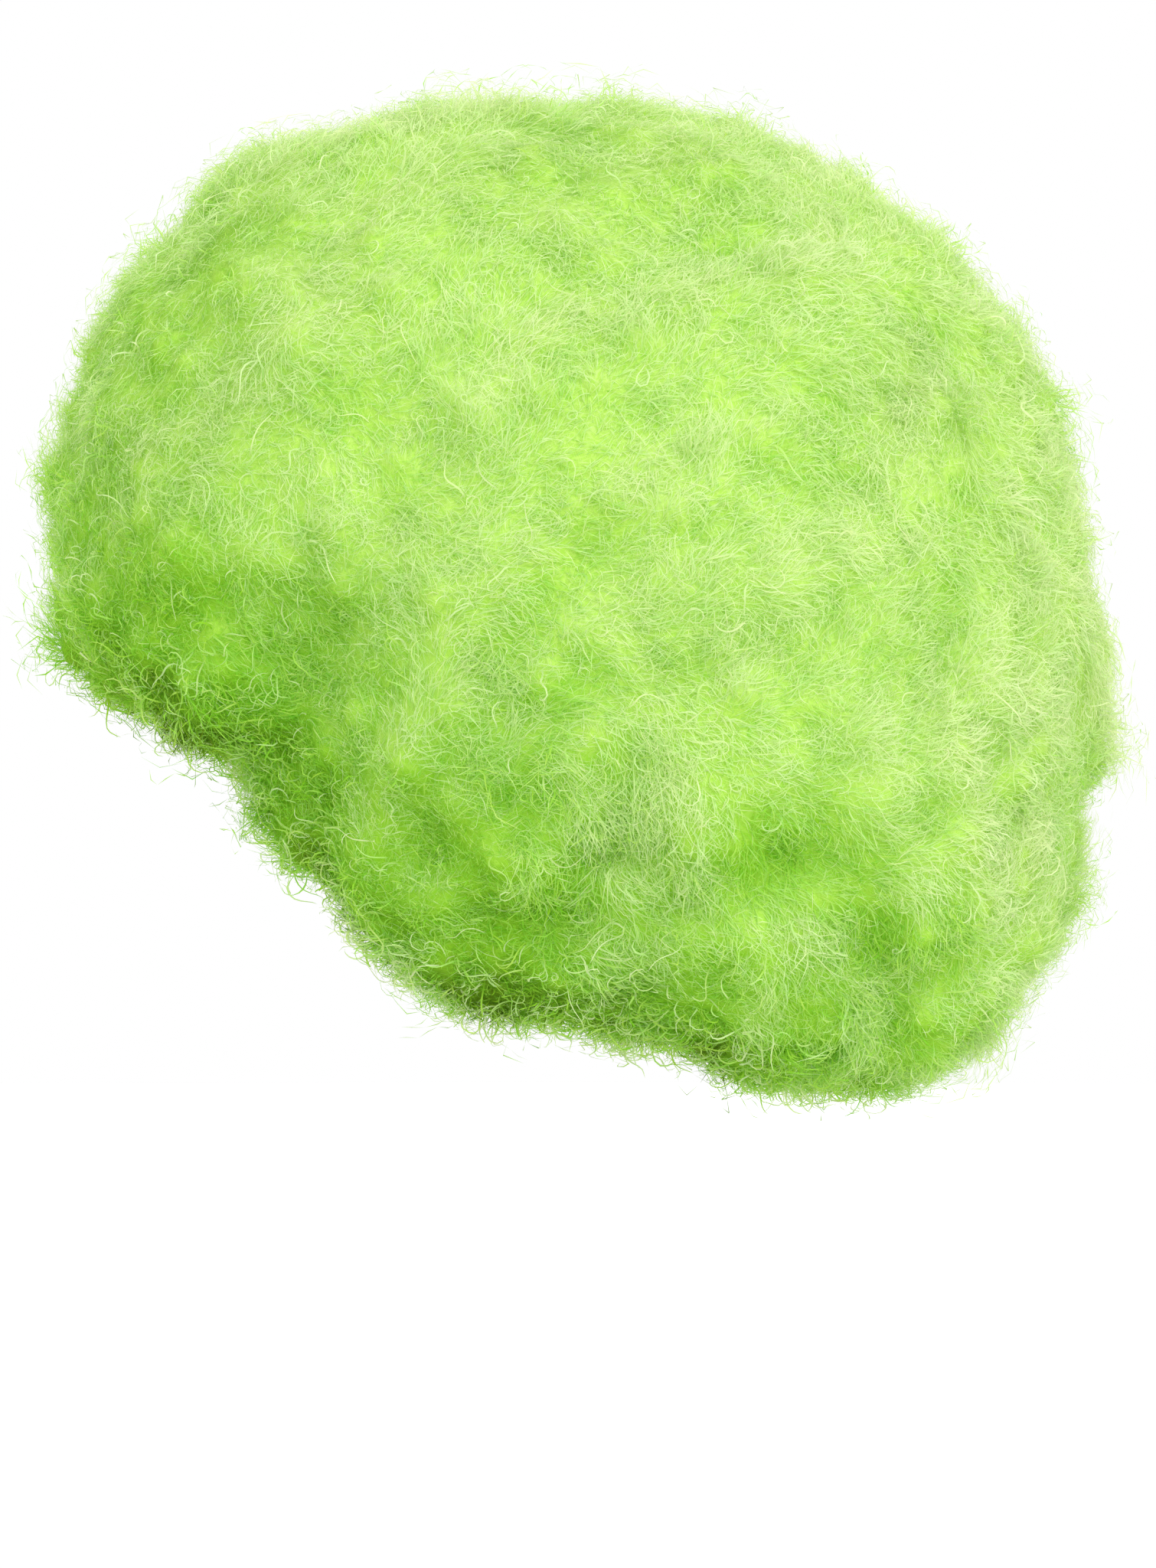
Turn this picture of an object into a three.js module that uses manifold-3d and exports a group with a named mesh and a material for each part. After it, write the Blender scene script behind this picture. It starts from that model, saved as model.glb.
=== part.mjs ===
// A fluffy teased wig in the form that it has on a head: a stretch cap with an elastic edge band, and one
// mass of hair whose outside is made of locks fused to a thick backing.
// Millimetres, +Z up, the wearer faces -Y, and +X is the wearer's left.
// The origin is the inside top of the cap, where the crown of the head meets it.
import * as THREE from "three";
import { mergeVertices } from "three/addons/utils/BufferGeometryUtils.js";
import Module from "manifold-3d";

const wasm = await Module();
wasm.setup();

// Head that the cap is made for: an upright ellipsoid whose top is the origin
const HEAD_HALF_WIDTH = 78;
const HEAD_HALF_LENGTH = 99;
const HEAD_HALF_HEIGHT = 105;

// Cap and edge band
const CAP_WALL = 1.6;
const BAND_WIDTH = 12;
const FIT_GAP = 0.3;
const CAP_TURNS = 32;
const CAP_RINGS = 8;
const RINGS_BELOW_BAND = 6;

// How far the cap's edge lies below the crown, round one side of the head from the forehead to the nape
const CAP_EDGE = [
  { turn: 0, drop: 62 },
  { turn: 45, drop: 82 },
  { turn: 90, drop: 100 },
  { turn: 130, drop: 130 },
  { turn: 180, drop: 156 },
];

// Neck and jaw, which the hair leaves free: a row for each level, from the ears down
const NECK_LEVELS = [
  { drop: 110, halfWidth: 80, front: -98, back: 98 },
  { drop: 150, halfWidth: 75, front: -84, back: 92 },
  { drop: 180, halfWidth: 69, front: -60, back: 91 },
  { drop: 212, halfWidth: 65, front: -38, back: 104 },
  { drop: 300, halfWidth: 64, front: -10, back: 146 },
];
const NECK_TURNS = 28;

// Face window: an arch seen from the front, open all the way forward
const FACE_HALF_WIDTH = 72;
const BROW_DROP = 93;
const TEMPLE_DROP = 142;
const FACE_DEPTH = -30;
const FACE_REACH = 260;
const FACE_BOTTOM = 320;
const FACE_CURVE_STEPS = 10;

// Hair: its side outline as reach from the puff's centre, where turn 0 is straight back, 90 up and 180 ahead.
// From the brow round to the neck, the outline is that of the hair beside the face.
const PUFF_CENTRE = new THREE.Vector3(0, 31, -30);
const PUFF_HALF_WIDTH = 188;
const PUFF_SQUARENESS = 2.3;
const OUTLINE = [
  { turn: 0, reach: 195 },
  { turn: 30, reach: 188 },
  { turn: 60, reach: 181 },
  { turn: 88, reach: 180 },
  { turn: 108, reach: 185 },
  { turn: 132, reach: 201 },
  { turn: 160, reach: 199 },
  { turn: 182, reach: 194 },
  { turn: 189, reach: 189 },
  { turn: 196, reach: 166 },
  { turn: 205, reach: 156 },
  { turn: 235, reach: 162 },
  { turn: 255, reach: 178 },
  { turn: 275, reach: 187 },
  { turn: 291, reach: 206 },
  { turn: 308, reach: 228 },
  { turn: 322, reach: 226 },
  { turn: 340, reach: 206 },
];

// Soft dents in both sides of the hair, placed as seen from the side
const DENTS = [
  { y: -90, z: -78, across: 30, depth: 12 },
  { y: -48, z: -50, across: 34, depth: 9 },
  { y: 40, z: -24, across: 30, depth: 6 },
  { y: 56, z: -132, across: 30, depth: 12 },
  { y: 36, z: -168, across: 28, depth: 12 },
  { y: 122, z: -60, across: 32, depth: 6 },
];

// Locks: teardrops that lie on the backing with their tips lifted, spread evenly over the puff
const BACKING_DEPTH = 13;
const BACKING_DETAIL = 6;
const LOCK_COUNT = 96;
const LOCK_LENGTH = 106;
const LOCK_WIDTH = 74;
const LOCK_CREST = 12;
const LOCK_ROOT = 42;
const LOCK_TAPER = 0.28;
const LOCK_LIFT = 5;
const LOCK_SIDES = 7;
const LOCK_RINGS = 5;
const GOLDEN_TURN = Math.PI * (3 - Math.sqrt(5));
const SWEEP_STEP = 2.2;
const NORMAL_STEP = 0.04;

const HAIR_GREEN = 0x9be03c;
const CAP_GREEN = 0x6fae2e;
const BAND_GREEN = 0x5c9428;

const radians = THREE.MathUtils.degToRad;

// Value of a table's column at a turn in degrees, on a smooth curve through its rows.
// A table that goes all the way round joins its last row to its first.
function along(table, column, turn, goesRound) {
  const rows = goesRound
    ? [-1, 0, 1].flatMap((lap) => table.map((row) => ({ at: row.turn + lap * 360, value: row[column] })))
    : table.map((row) => ({ at: row.turn, value: row[column] }));
  const slope = (i) => {
    const before = rows[Math.max(i - 1, 0)];
    const after = rows[Math.min(i + 1, rows.length - 1)];
    return (after.value - before.value) / (after.at - before.at);
  };
  const last = rows.length - 2;
  const i = Math.min(Math.max(rows.findLastIndex((row) => row.at <= turn), 0), last);
  const [a, b] = [rows[i], rows[i + 1]];
  const span = b.at - a.at;
  const t = THREE.MathUtils.clamp((turn - a.at) / span, 0, 1);
  const flat = goesRound ? slope(i) : slope(i) * (i > 0);
  const next = goesRound ? slope(i + 1) : slope(i + 1) * (i < last);
  return (
    a.value * (1 + 2 * t) * (1 - t) ** 2 +
    flat * span * t * (1 - t) ** 2 +
    b.value * t * t * (3 - 2 * t) +
    next * span * t * t * (t - 1)
  );
}

// A geometry with each of its points moved to where place says
function shaped(geometry, place) {
  const { position, uv } = geometry.attributes;
  for (let i = 0; i < position.count; i++) {
    const from = new THREE.Vector3().fromBufferAttribute(position, i);
    const to = place(from, uv.getX(i), uv.getY(i));
    position.setXYZ(i, to.x, to.y, to.z);
  }
  return geometry;
}

// Geometry to solid and back, for joining and cutting
function solid(geometry) {
  const bare = geometry.clone();
  bare.deleteAttribute("normal");
  bare.deleteAttribute("uv");
  const merged = mergeVertices(bare, 1e-3);
  return new wasm.Manifold(
    new wasm.Mesh({
      numProp: 3,
      vertProperties: new Float32Array(merged.attributes.position.array),
      triVerts: new Uint32Array(merged.index.array),
    }),
  );
}

function geometryOf(manifold) {
  const { vertProperties, triVerts } = manifold.getMesh();
  const geometry = new THREE.BufferGeometry();
  geometry.setAttribute("position", new THREE.BufferAttribute(vertProperties, 3));
  geometry.setIndex(new THREE.BufferAttribute(triVerts, 1));
  geometry.computeVertexNormals();
  return geometry;
}

// A point on the head, at a turn from the forehead and an angle down from the crown, raised by a height
function headPoint(turn, down, height) {
  return new THREE.Vector3(
    (HEAD_HALF_WIDTH + height) * Math.sin(down) * Math.sin(turn),
    -(HEAD_HALF_LENGTH + height) * Math.sin(down) * Math.cos(turn),
    (HEAD_HALF_HEIGHT + height) * Math.cos(down) - HEAD_HALF_HEIGHT,
  );
}

// Angle down from the crown to the cap's edge at a turn
function edgeAngle(turn) {
  const degrees = THREE.MathUtils.radToDeg(turn);
  const drop = along(CAP_EDGE, "drop", degrees > 180 ? 360 - degrees : degrees, false);
  return Math.acos(1 - drop / HEAD_HALF_HEIGHT);
}

// Angles down the head, as functions of the turn: a share of the way to the cap's edge, a distance past
// that edge, and a share of the way from the band to the bottom of the head
const toEdge = (share) => (turn) => edgeAngle(turn) * share;
const pastEdge = (distance) => (turn) => edgeAngle(turn) + distance / HEAD_HALF_LENGTH;
const toBottom = (share) => (turn) =>
  THREE.MathUtils.lerp(pastEdge(BAND_WIDTH + FIT_GAP)(turn), Math.PI, share);

// A closed skin round the head through rows of { down, height }, from pole to pole or back to the first row
function headSkin(rows) {
  const profile = rows.map((row, i) => new THREE.Vector2(1, i));
  return shaped(new THREE.LatheGeometry(profile, CAP_TURNS), (from, u, v) => {
    const row = rows[Math.round(v * (rows.length - 1))];
    const turn = (u % 1) * 2 * Math.PI;
    return headPoint(turn, row.down(turn), row.height);
  });
}

const shares = (count) => Array.from({ length: count + 1 }, (unused, i) => i / count);

function wigCap() {
  const inside = shares(CAP_RINGS).map((share) => ({ down: toEdge(share), height: 0 }));
  const outside = shares(CAP_RINGS).map((share) => ({ down: toEdge(share), height: CAP_WALL }));
  return headSkin([...inside, ...outside.reverse()]);
}

function edgeBand() {
  const corner = (distance, height) => ({ down: pastEdge(distance), height });
  const top = FIT_GAP;
  const bottom = FIT_GAP + BAND_WIDTH;
  return headSkin([
    corner(top, 0),
    corner(bottom, 0),
    corner(bottom, CAP_WALL),
    corner(top, CAP_WALL),
    corner(top, 0),
  ]);
}

// The space that the cap, its band and the head take up inside the hair
function headSpace() {
  const height = CAP_WALL + FIT_GAP;
  const rows = [
    ...shares(CAP_RINGS).map((share) => ({ down: toEdge(share), height })),
    { down: pastEdge(FIT_GAP), height },
    ...shares(RINGS_BELOW_BAND).map((share) => ({ down: toBottom(share), height })),
  ];
  return headSkin(rows.reverse());
}

function neckSpace() {
  const steps = NECK_LEVELS.length - 1;
  return shaped(new THREE.CylinderGeometry(1, 1, 1, NECK_TURNS, steps), (from) => {
    const level = NECK_LEVELS[Math.round((0.5 - from.y) * steps)];
    const middle = (level.front + level.back) / 2;
    const halfLength = (level.back - level.front) / 2;
    return new THREE.Vector3(from.x * level.halfWidth, middle - from.z * halfLength, -level.drop);
  });
}

function faceSpace() {
  const arch = new THREE.Shape();
  arch.moveTo(FACE_HALF_WIDTH, -FACE_BOTTOM);
  arch.lineTo(FACE_HALF_WIDTH, -TEMPLE_DROP);
  arch.absellipse(0, -TEMPLE_DROP, FACE_HALF_WIDTH, TEMPLE_DROP - BROW_DROP, 0, Math.PI);
  arch.lineTo(-FACE_HALF_WIDTH, -FACE_BOTTOM);
  const block = new THREE.ExtrudeGeometry(arch, {
    depth: FACE_REACH + FACE_DEPTH,
    bevelEnabled: false,
    curveSegments: FACE_CURVE_STEPS,
  });
  return block.rotateX(Math.PI / 2).translate(0, FACE_DEPTH, 0);
}

// How far the hair reaches from the puff's centre in a direction
function puffReach(direction) {
  const turn = THREE.MathUtils.euclideanModulo(
    THREE.MathUtils.radToDeg(Math.atan2(direction.z, direction.y)),
    360,
  );
  const acrossShare = Math.abs(direction.x) / PUFF_HALF_WIDTH;
  const sideShare = Math.hypot(direction.y, direction.z) / along(OUTLINE, "reach", turn, true);
  const round = (acrossShare ** PUFF_SQUARENESS + sideShare ** PUFF_SQUARENESS) ** (-1 / PUFF_SQUARENESS);
  const point = direction.clone().multiplyScalar(round).add(PUFF_CENTRE);
  const sunk = DENTS.reduce((sum, dent) => {
    const away = Math.hypot(point.y - dent.y, point.z - dent.z) / dent.across;
    return sum + dent.depth * Math.exp(-away * away);
  }, 0);
  return round - sunk;
}

const puffPoint = (direction, depth) =>
  direction.clone().multiplyScalar(puffReach(direction) - depth).add(PUFF_CENTRE);

// Outward direction of the puff's surface, from two points close by
function puffNormal(direction, sideways, up) {
  const here = puffPoint(direction, 0);
  const edgeTo = (tangent) =>
    puffPoint(direction.clone().addScaledVector(tangent, NORMAL_STEP).normalize(), 0).sub(here);
  return edgeTo(sideways).cross(edgeTo(up)).normalize();
}

function backing() {
  return shaped(new THREE.IcosahedronGeometry(1, BACKING_DETAIL), (from) =>
    puffPoint(from.normalize(), BACKING_DEPTH),
  );
}

// One lock of the even spread over the puff, swept along its surface
function lock(index) {
  const height = 1 - (2 * (index + 0.5)) / LOCK_COUNT;
  const round = Math.sqrt(1 - height * height);
  const turn = index * GOLDEN_TURN;
  const direction = new THREE.Vector3(round * Math.cos(turn), round * Math.sin(turn), height);
  const sideways = new THREE.Vector3(0, 0, 1).cross(direction).normalize();
  const up = direction.clone().cross(sideways);
  const out = puffNormal(direction, sideways, up);
  const sweepAngle = index * SWEEP_STEP;
  const sweep = sideways.multiplyScalar(Math.cos(sweepAngle)).addScaledVector(up, Math.sin(sweepAngle));
  const across = sweep.clone().cross(out).normalize();
  sweep.crossVectors(out, across);
  const middle = puffPoint(direction, LOCK_CREST);
  return shaped(new THREE.SphereGeometry(1, LOCK_SIDES, LOCK_RINGS), (from) => {
    const slim = 1 - LOCK_TAPER * from.y;
    const thick = from.z > 0 ? LOCK_CREST * slim : LOCK_ROOT;
    return middle
      .clone()
      .addScaledVector(sweep, (from.y * LOCK_LENGTH) / 2)
      .addScaledVector(across, (from.x * slim * LOCK_WIDTH) / 2)
      .addScaledVector(out, from.z * thick + from.y * LOCK_LIFT);
  });
}

function hair() {
  const locks = Array.from({ length: LOCK_COUNT }, (unused, i) => solid(lock(i)));
  const mass = wasm.Manifold.union([solid(backing()), ...locks]);
  const free = solid(headSpace()).add(solid(neckSpace())).add(solid(faceSpace()));
  const bodies = mass.subtract(free).decompose();
  return geometryOf(bodies.reduce((a, b) => (b.volume() > a.volume() ? b : a)));
}

function piece(name, geometry, color, roughness) {
  const mesh = new THREE.Mesh(geometry, new THREE.MeshStandardMaterial({ color, roughness, metalness: 0 }));
  mesh.name = name;
  return mesh;
}

const wig = new THREE.Group();
wig.add(piece("wig_cap", wigCap(), CAP_GREEN, 0.9));
wig.add(piece("edge_band", edgeBand(), BAND_GREEN, 0.8));
wig.add(piece("hair", hair(), HAIR_GREEN, 0.95));

export default wig;
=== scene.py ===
"""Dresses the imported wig: teased fibres over a dense mass of hair, a net cap and an elastic edge band.

Lengths are in metres, +Z is up, the wearer faces -Y, and the origin is the inside top of the cap.
"""

import math
from typing import NamedTuple

import bpy
import numpy as np
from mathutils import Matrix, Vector
from mathutils.kdtree import KDTree


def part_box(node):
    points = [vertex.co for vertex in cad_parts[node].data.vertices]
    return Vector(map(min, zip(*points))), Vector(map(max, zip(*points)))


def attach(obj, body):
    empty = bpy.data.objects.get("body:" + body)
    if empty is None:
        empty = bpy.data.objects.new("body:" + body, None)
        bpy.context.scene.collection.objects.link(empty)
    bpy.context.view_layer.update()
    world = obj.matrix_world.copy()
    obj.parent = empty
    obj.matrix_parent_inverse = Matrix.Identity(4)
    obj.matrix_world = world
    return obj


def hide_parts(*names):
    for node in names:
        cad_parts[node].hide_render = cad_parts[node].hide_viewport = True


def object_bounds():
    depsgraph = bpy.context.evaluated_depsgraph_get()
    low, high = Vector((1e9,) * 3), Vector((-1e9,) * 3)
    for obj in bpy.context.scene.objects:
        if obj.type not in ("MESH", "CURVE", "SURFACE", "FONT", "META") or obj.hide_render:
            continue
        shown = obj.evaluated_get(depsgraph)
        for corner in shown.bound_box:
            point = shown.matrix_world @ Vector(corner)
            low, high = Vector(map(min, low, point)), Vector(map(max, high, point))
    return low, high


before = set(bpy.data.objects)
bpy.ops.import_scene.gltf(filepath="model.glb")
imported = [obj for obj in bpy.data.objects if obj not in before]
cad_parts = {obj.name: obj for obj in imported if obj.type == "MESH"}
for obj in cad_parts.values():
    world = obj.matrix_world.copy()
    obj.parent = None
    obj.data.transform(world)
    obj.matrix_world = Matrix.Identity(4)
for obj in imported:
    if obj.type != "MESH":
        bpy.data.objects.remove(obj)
CAD_LOW, CAD_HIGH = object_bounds()
CAP_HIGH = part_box("wig_cap")[1]

bl_info = {
    "name": "Teased Wig",
    "version": (1, 0, 0),
    "blender": (4, 5, 0),
    "location": "View3D > Sidebar > Wig",
    "description": "Grows the fibres of a teased wig, finishes its cap and band, and sets its stage",
    "category": "Object",
}

BODY = "root"
TINT_MAP = "OFBake"
TONE_MAP = "tone"
MM = 0.001


# Settings

class WigMassSettings(bpy.types.PropertyGroup):
    """The dense mass of hair that the fibres grow from"""

    voxel: bpy.props.FloatProperty(
        name="Grain", description="Spacing of the mass's mesh", default=5.0 * MM, unit="LENGTH")
    smooth_rounds: bpy.props.IntProperty(
        name="Smoothing", description="Rounds of smoothing after each new mesh", default=20)
    inset: bpy.props.FloatProperty(
        name="Inset", description="How far the mass lies under the outside of the locks",
        default=6.0 * MM, unit="LENGTH")
    edge_inset: bpy.props.FloatProperty(
        name="Edge inset", description="How far the mass lies behind the edges at the face and the neck",
        default=7.0 * MM, unit="LENGTH")
    puff_size: bpy.props.FloatProperty(
        name="Puff size", description="Breadth of the puffs in the hair", default=40.0 * MM, unit="LENGTH")
    puff_height: bpy.props.FloatProperty(
        name="Puff height", description="Height of the puffs over the creases between them",
        default=6.0 * MM, unit="LENGTH")
    clump_count: bpy.props.IntProperty(
        name="Clumps", description="Small clumps that stand up here and there on the puffs", default=600)
    clump_size: bpy.props.FloatProperty(
        name="Clump size", description="Half the breadth of a clump", default=6.5 * MM, unit="LENGTH")
    clump_height: bpy.props.FloatProperty(
        name="Clump height", description="Height of the highest clumps", default=7.0 * MM, unit="LENGTH")


class WigFibreSettings(bpy.types.PropertyGroup):
    """The fibres that are seen"""

    seed: bpy.props.IntProperty(name="Seed", description="Start of every random draw", default=41)
    down_count: bpy.props.IntProperty(
        name="Down fibres", description="Short fibres close to the mass, over the whole wig", default=115000)
    down_length: bpy.props.FloatProperty(
        name="Down length", description="Mean length of the down", default=10 * MM, unit="LENGTH")
    coat_count: bpy.props.IntProperty(
        name="Coat fibres", description="Longer fibres over the down, over the whole wig", default=44000)
    coat_length: bpy.props.FloatProperty(
        name="Coat length", description="Mean length of the coat's fibres", default=15 * MM, unit="LENGTH")
    frizz_count: bpy.props.IntProperty(
        name="Frizz", description="Short curled fibres that stand up, over the whole wig", default=50500)
    frizz_length: bpy.props.FloatProperty(
        name="Frizz length", description="Mean length of the frizz", default=8.5 * MM, unit="LENGTH")
    curl_count: bpy.props.IntProperty(
        name="Edge curls", default=10900,
        description="Curly strands, most of them along the edges at the face and the neck")
    curl_length: bpy.props.FloatProperty(
        name="Edge curl length", description="Mean length of the edge curls", default=16 * MM, unit="LENGTH")
    flyaway_count: bpy.props.IntProperty(
        name="Flyaways", description="Loose fibres that stand off the coat", default=3400)
    flyaway_length: bpy.props.FloatProperty(
        name="Flyaway length", description="Mean length of the flyaways", default=7 * MM, unit="LENGTH")
    tuft_count: bpy.props.IntProperty(
        name="Tufts", description="Tufts that the fibres gather in", default=4200)
    width: bpy.props.FloatProperty(
        name="Fibre width", description="Width that each layer of fibres multiplies",
        default=0.29 * MM, unit="LENGTH")
    # Shade green is painted shade: the colour that the hair gets where it is in shadow at the edges
    shade: bpy.props.FloatVectorProperty(
        name="Shade green", description="Colour of the dense hair at the edges", subtype="COLOR",
        default=(0.11, 0.2, 0.008))
    deep: bpy.props.FloatVectorProperty(
        name="Deep green", description="Colour in the gaps between tufts", subtype="COLOR",
        default=(0.35, 0.7, 0.04))
    lime: bpy.props.FloatVectorProperty(
        name="Lime", description="Main colour of the hair", subtype="COLOR", default=(0.52, 0.8, 0.15))
    pale: bpy.props.FloatVectorProperty(
        name="Pale lime", description="Colour of the fibres on top", subtype="COLOR",
        default=(0.7, 0.86, 0.41))
    tip: bpy.props.FloatVectorProperty(
        name="Palest tip", description="Colour of the palest tips", subtype="COLOR",
        default=(0.84, 0.91, 0.56))


class WigCapSettings(bpy.types.PropertyGroup):
    """The net cap and its elastic band"""

    net_pitch: bpy.props.FloatProperty(
        name="Net pitch", description="Breadth of the net's cells", default=2.2 * MM, unit="LENGTH")
    cap_colour: bpy.props.FloatVectorProperty(
        name="Cap colour", description="Colour of the net", subtype="COLOR", default=(0.16, 0.42, 0.027))
    band_colour: bpy.props.FloatVectorProperty(
        name="Band colour", description="Colour of the elastic", subtype="COLOR",
        default=(0.107, 0.296, 0.021))


class WigStageSettings(bpy.types.PropertyGroup):
    """Camera, light and floor"""

    aim: bpy.props.FloatVectorProperty(
        name="Aim", description="Point in the middle of the picture", subtype="XYZ",
        default=(0.0, 32 * MM, -104 * MM))
    distance: bpy.props.FloatProperty(
        name="Distance", description="From the aim to the camera", default=2.5, unit="LENGTH")
    picture_height: bpy.props.FloatProperty(
        name="Picture height", description="Height of the picture at the aim", default=0.5755, unit="LENGTH")
    floor_drop: bpy.props.FloatProperty(
        name="Floor drop", description="From the bottom of the hair to the floor", default=0.25,
        unit="LENGTH")


# Shared helpers

MERGE_DISTANCE = 0.01 * MM
TINY = 1e-9


def deselect():
    if bpy.context.object and bpy.context.object.mode != "OBJECT":
        bpy.ops.object.mode_set(mode="OBJECT")
    bpy.ops.object.select_all(action="DESELECT")


def make_active(piece):
    deselect()
    piece.select_set(True)
    bpy.context.view_layer.objects.active = piece


def apply_modifier(piece, kind, **values):
    """Adds a modifier to a piece and applies it."""
    make_active(piece)
    modifier = piece.modifiers.new(kind.title(), kind)
    for name, value in values.items():
        setattr(modifier, name, value)
    bpy.ops.object.modifier_apply(modifier=modifier.name)


def merged_copy(node, name):
    """A new object with a node's mesh, its loose triangles merged."""
    piece = bpy.data.objects.new(name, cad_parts[node].data.copy())
    bpy.context.scene.collection.objects.link(piece)
    piece.data.name = name
    piece.data.materials.clear()
    make_active(piece)
    bpy.ops.object.mode_set(mode="EDIT")
    bpy.ops.mesh.select_all(action="SELECT")
    bpy.ops.mesh.remove_doubles(threshold=MERGE_DISTANCE)
    bpy.ops.object.mode_set(mode="OBJECT")
    return piece


def finish_piece(piece, material, slot, *replaced):
    """Gives a piece its material and its body, and hides the nodes that it stands for. The slot is not used.
    """
    piece.data.materials.append(material)
    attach(piece, BODY)
    if replaced:
        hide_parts(*replaced)


def vertex_arrays(mesh):
    """Places and normals of a mesh's vertices."""
    places = np.empty(len(mesh.vertices) * 3, np.float32)
    mesh.vertices.foreach_get("co", places)
    normals = np.empty(len(mesh.vertices) * 3, np.float32)
    mesh.vertex_normals.foreach_get("vector", normals)
    return places.reshape(-1, 3).astype(float), normals.reshape(-1, 3).astype(float)


def unit(vectors):
    return vectors / np.maximum(np.linalg.norm(vectors, axis=-1, keepdims=True), TINY)


def dot(a, b):
    return (a * b).sum(-1, keepdims=True)


def smooth_step(low, high, values):
    """0 below low, 1 above high, and a smooth rise between them."""
    share = np.clip((values - low) / (high - low), 0, 1)
    return share * share * (3 - 2 * share)


def turned(vectors, axes, angles):
    """Vectors turned about unit axes that they are square to."""
    return vectors * np.cos(angles) + np.cross(axes, vectors) * np.sin(angles)


def tree_of(places):
    """A search tree of places."""
    tree = KDTree(len(places))
    for index, place in enumerate(places):
        tree.insert(place, index)
    tree.balance()
    return tree


def nearest(guides, places):
    """Index of the guide that is nearest to each place."""
    tree = tree_of(guides)
    return np.array([tree.find(place)[1] for place in places])


def random_field(rng, size, waves=14, spread=(0.6, 1.4)):
    """A smooth random vector field whose swirls are about size across, as a function of points."""
    turns = unit(rng.normal(size=(waves, 3))) * (math.pi / size) * rng.uniform(*spread, (waves, 1))
    phases = rng.uniform(0, 2 * math.pi, (3, waves))

    def field(points):
        angles = points @ turns.T
        return np.stack([np.sin(angles + phase).sum(-1) for phase in phases], -1) * math.sqrt(2 / waves)

    return field


# Materials

# Painted shade of the mass under the fibres: its brightness as a share of the fibres' colours
PAINTED_SHADE_UNDER_FIBRES = 0.85
# Share of the light that passes through a fibre, and the ends of the hues, where 0.5 is no change
LIGHT_THROUGH = 0.5
HUES = (0.485, 0.515)
# Two sets of fibre lines on the mass: how close they run, their directions, contrast and height
LINE_COUNT = 170
LINE_SCALES = (45, 60)
LINE_TURNS = (0.0, 0.9)
LINE_TONES = (0.85, 1.15)
LINE_HEIGHT = 0.6 * MM
# Cells of the cloth: the painted shade in their middle, as a share of the colour, and the height of their
# rims
CELL_SHADE = 0.45
CELL_HEIGHT = 0.5 * MM
BUMP_STRENGTH = 0.5


def new_material(name):
    material = bpy.data.materials.new(name)
    material.use_nodes = True
    tree = material.node_tree
    return material, tree, tree.nodes["Principled BSDF"]


def maths(tree, operation, *values):
    """The output of a maths node whose inputs are numbers or other outputs."""
    node = tree.nodes.new("ShaderNodeMath")
    node.operation = operation
    for socket, value in zip(node.inputs, values):
        if isinstance(value, bpy.types.NodeSocket):
            tree.links.new(value, socket)
        else:
            socket.default_value = value
    return node.outputs["Value"]


def map_range(tree, value, **ends):
    """The output of a node that maps a value from one range to another."""
    node = tree.nodes.new("ShaderNodeMapRange")
    for name, end in ends.items():
        node.inputs[name.replace("_", " ").title()].default_value = end
    tree.links.new(value, node.inputs["Value"])
    return node.outputs["Result"]


def tint_ramp(tree, value, stops):
    """The colour that a value has on a ramp of stops."""
    ramp = tree.nodes.new("ShaderNodeValToRGB")
    elements = ramp.color_ramp.elements
    while len(elements) < len(stops):
        elements.new(0.5)
    for element, (place, colour) in zip(elements, stops):
        element.position = place
        element.color = (*colour, 1)
    tree.links.new(value, ramp.inputs["Fac"])
    return ramp.outputs["Color"]


def add_bump(tree, shader, pattern, height):
    """Makes a pattern stand up on a surface."""
    bump = tree.nodes.new("ShaderNodeBump")
    bump.inputs["Strength"].default_value = BUMP_STRENGTH
    bump.inputs["Distance"].default_value = height
    tree.links.new(pattern, bump.inputs["Height"])
    tree.links.new(bump.outputs["Normal"], shader.inputs["Normal"])


def let_through(tree, shader, colour):
    """Lets a share of the light through a thin surface, so that its back is as bright as its front."""
    through = tree.nodes.new("ShaderNodeBsdfTranslucent")
    tree.links.new(colour, through.inputs["Color"])
    mix = tree.nodes.new("ShaderNodeMixShader")
    mix.inputs["Fac"].default_value = LIGHT_THROUGH
    tree.links.new(shader.outputs["BSDF"], mix.inputs[1])
    tree.links.new(through.outputs["BSDF"], mix.inputs[2])
    tree.links.new(mix.outputs["Shader"], tree.nodes["Material Output"].inputs["Surface"])


def fibre_material(fibres):
    """Fibre colour from the tint map: U runs from shade to the palest tips, and V shifts the hue a little.
    """
    material, tree, shader = new_material("hair_fibre")
    uv = tree.nodes.new("ShaderNodeUVMap")
    uv.uv_map = TINT_MAP
    parts = tree.nodes.new("ShaderNodeSeparateXYZ")
    tree.links.new(uv.outputs["UV"], parts.inputs[0])
    tint = tint_ramp(tree, parts.outputs["X"], [
        (0.0, fibres.shade),
        (0.25, fibres.deep),
        (0.48, fibres.lime),
        (0.74, fibres.pale),
        (1.0, fibres.tip),
    ])
    warm = tree.nodes.new("ShaderNodeHueSaturation")
    tree.links.new(tint, warm.inputs["Color"])
    hue = map_range(tree, parts.outputs["Y"], to_min=HUES[0], to_max=HUES[1])
    tree.links.new(hue, warm.inputs["Hue"])
    tree.links.new(warm.outputs["Color"], shader.inputs["Base Color"])
    shader.inputs["Roughness"].default_value = 0.7
    shader.inputs["Specular IOR Level"].default_value = 0.08
    let_through(tree, shader, warm.outputs["Color"])
    return material


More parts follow.
